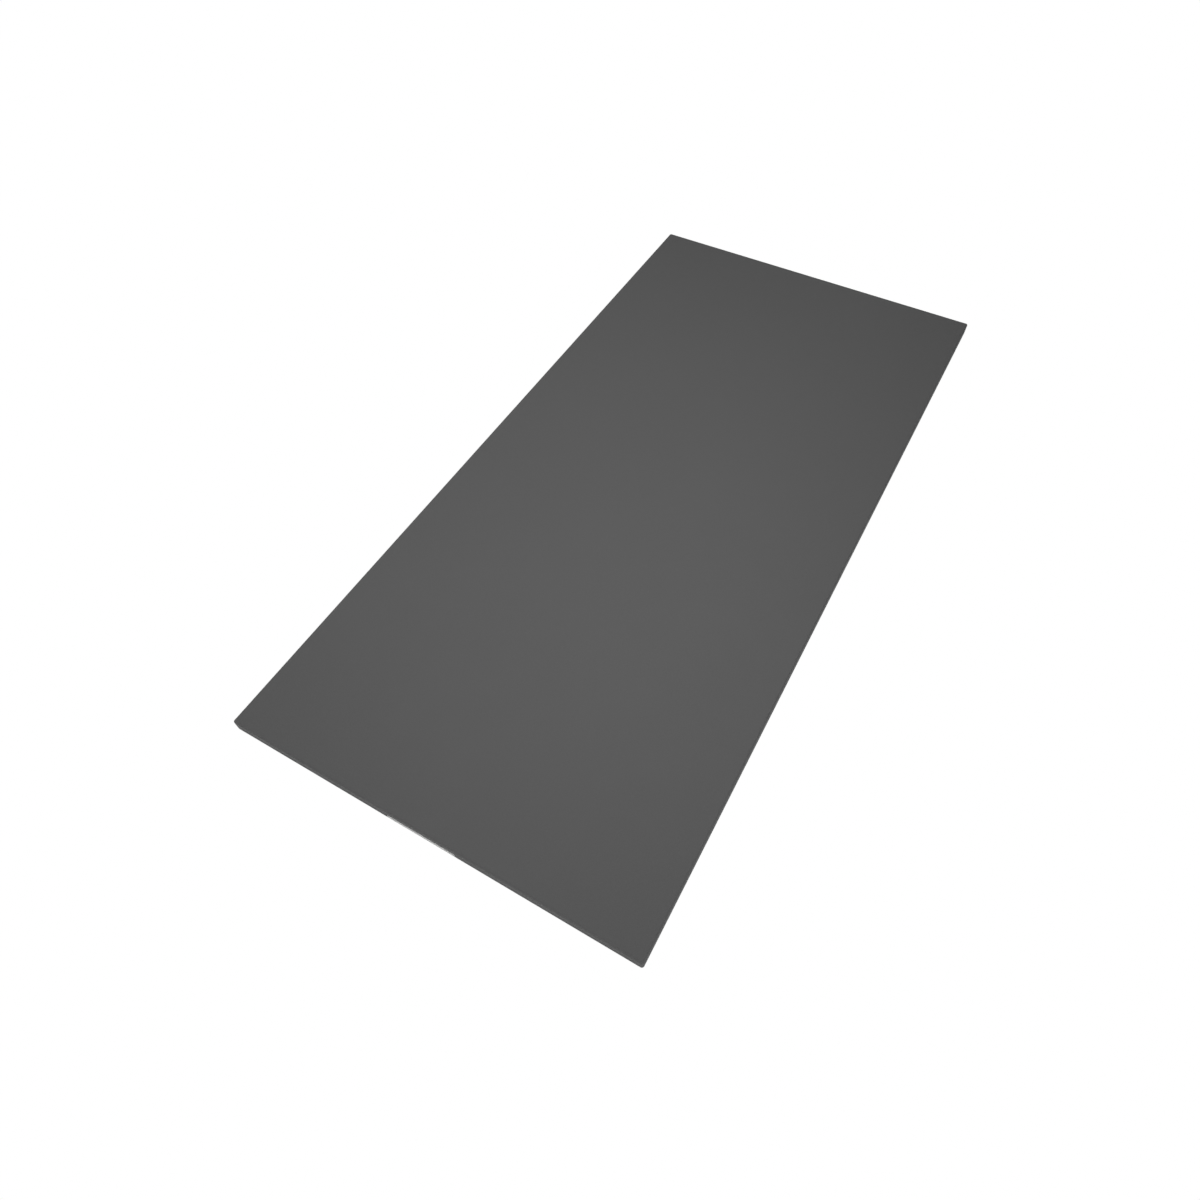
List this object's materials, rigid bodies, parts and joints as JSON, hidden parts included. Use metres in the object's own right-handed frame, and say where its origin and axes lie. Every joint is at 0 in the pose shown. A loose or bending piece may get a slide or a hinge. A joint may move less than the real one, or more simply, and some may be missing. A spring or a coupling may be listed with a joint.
{
  "type": "door kick plate",
  "caption": "Flat rectangular door kick plate with shallow folded edges, a lifting notch in each short edge, a filled back and self-adhesive strips under peel-off liners.",
  "frame": {"origin": "centre of the back plane, where the plate meets the door", "axes": "+X along the plate's width, +Y up the door, +Z out of the face, away from the door"},
  "size_m": [0.83, 0.4, 0.0125],
  "materials": {
    "powder_coat": "matt anthracite powder coat with a very fine texture",
    "laminating_film": "translucent adhesive film",
    "core_board": "pale closed-cell foam board, matt skin and finely pitted cut edges",
    "foam_tape": "dark grey closed-cell acrylic foam, tacky on both faces",
    "release_liner": "thin red film with a fine embossed diamond pattern"
  },
  "bodies": {
    "plate": {"face_pan": "powder_coat", "laminating_film": "laminating_film", "core_board": "core_board", "foam_tape_top": "foam_tape", "foam_tape_centre": "foam_tape", "foam_tape_bottom": "foam_tape", "foam_tape_left_upper": "foam_tape", "foam_tape_left_lower": "foam_tape", "foam_tape_right_upper": "foam_tape", "foam_tape_right_lower": "foam_tape"},
    "liner_top": {"release_liner_top": "release_liner"},
    "liner_centre": {"release_liner_centre": "release_liner"},
    "liner_bottom": {"release_liner_bottom": "release_liner"},
    "liner_left_upper": {"release_liner_left_upper": "release_liner"},
    "liner_left_lower": {"release_liner_left_lower": "release_liner"},
    "liner_right_upper": {"release_liner_right_upper": "release_liner"},
    "liner_right_lower": {"release_liner_right_lower": "release_liner"}
  },
  "joints": [
    {"name": "peel_top", "type": "slide", "parent": "plate", "child": "liner_top", "axis": [1, 0, 0], "range_m": [0, 0.85]},
    {"name": "peel_centre", "type": "slide", "parent": "plate", "child": "liner_centre", "axis": [1, 0, 0], "range_m": [0, 0.85]},
    {"name": "peel_bottom", "type": "slide", "parent": "plate", "child": "liner_bottom", "axis": [1, 0, 0], "range_m": [0, 0.85]},
    {"name": "peel_left_upper", "type": "slide", "parent": "plate", "child": "liner_left_upper", "axis": [-1, 0, 0], "range_m": [0, 0.06]},
    {"name": "peel_left_lower", "type": "slide", "parent": "plate", "child": "liner_left_lower", "axis": [-1, 0, 0], "range_m": [0, 0.06]},
    {"name": "peel_right_upper", "type": "slide", "parent": "plate", "child": "liner_right_upper", "axis": [1, 0, 0], "range_m": [0, 0.06]},
    {"name": "peel_right_lower", "type": "slide", "parent": "plate", "child": "liner_right_lower", "axis": [1, 0, 0], "range_m": [0, 0.06]}
  ]
}
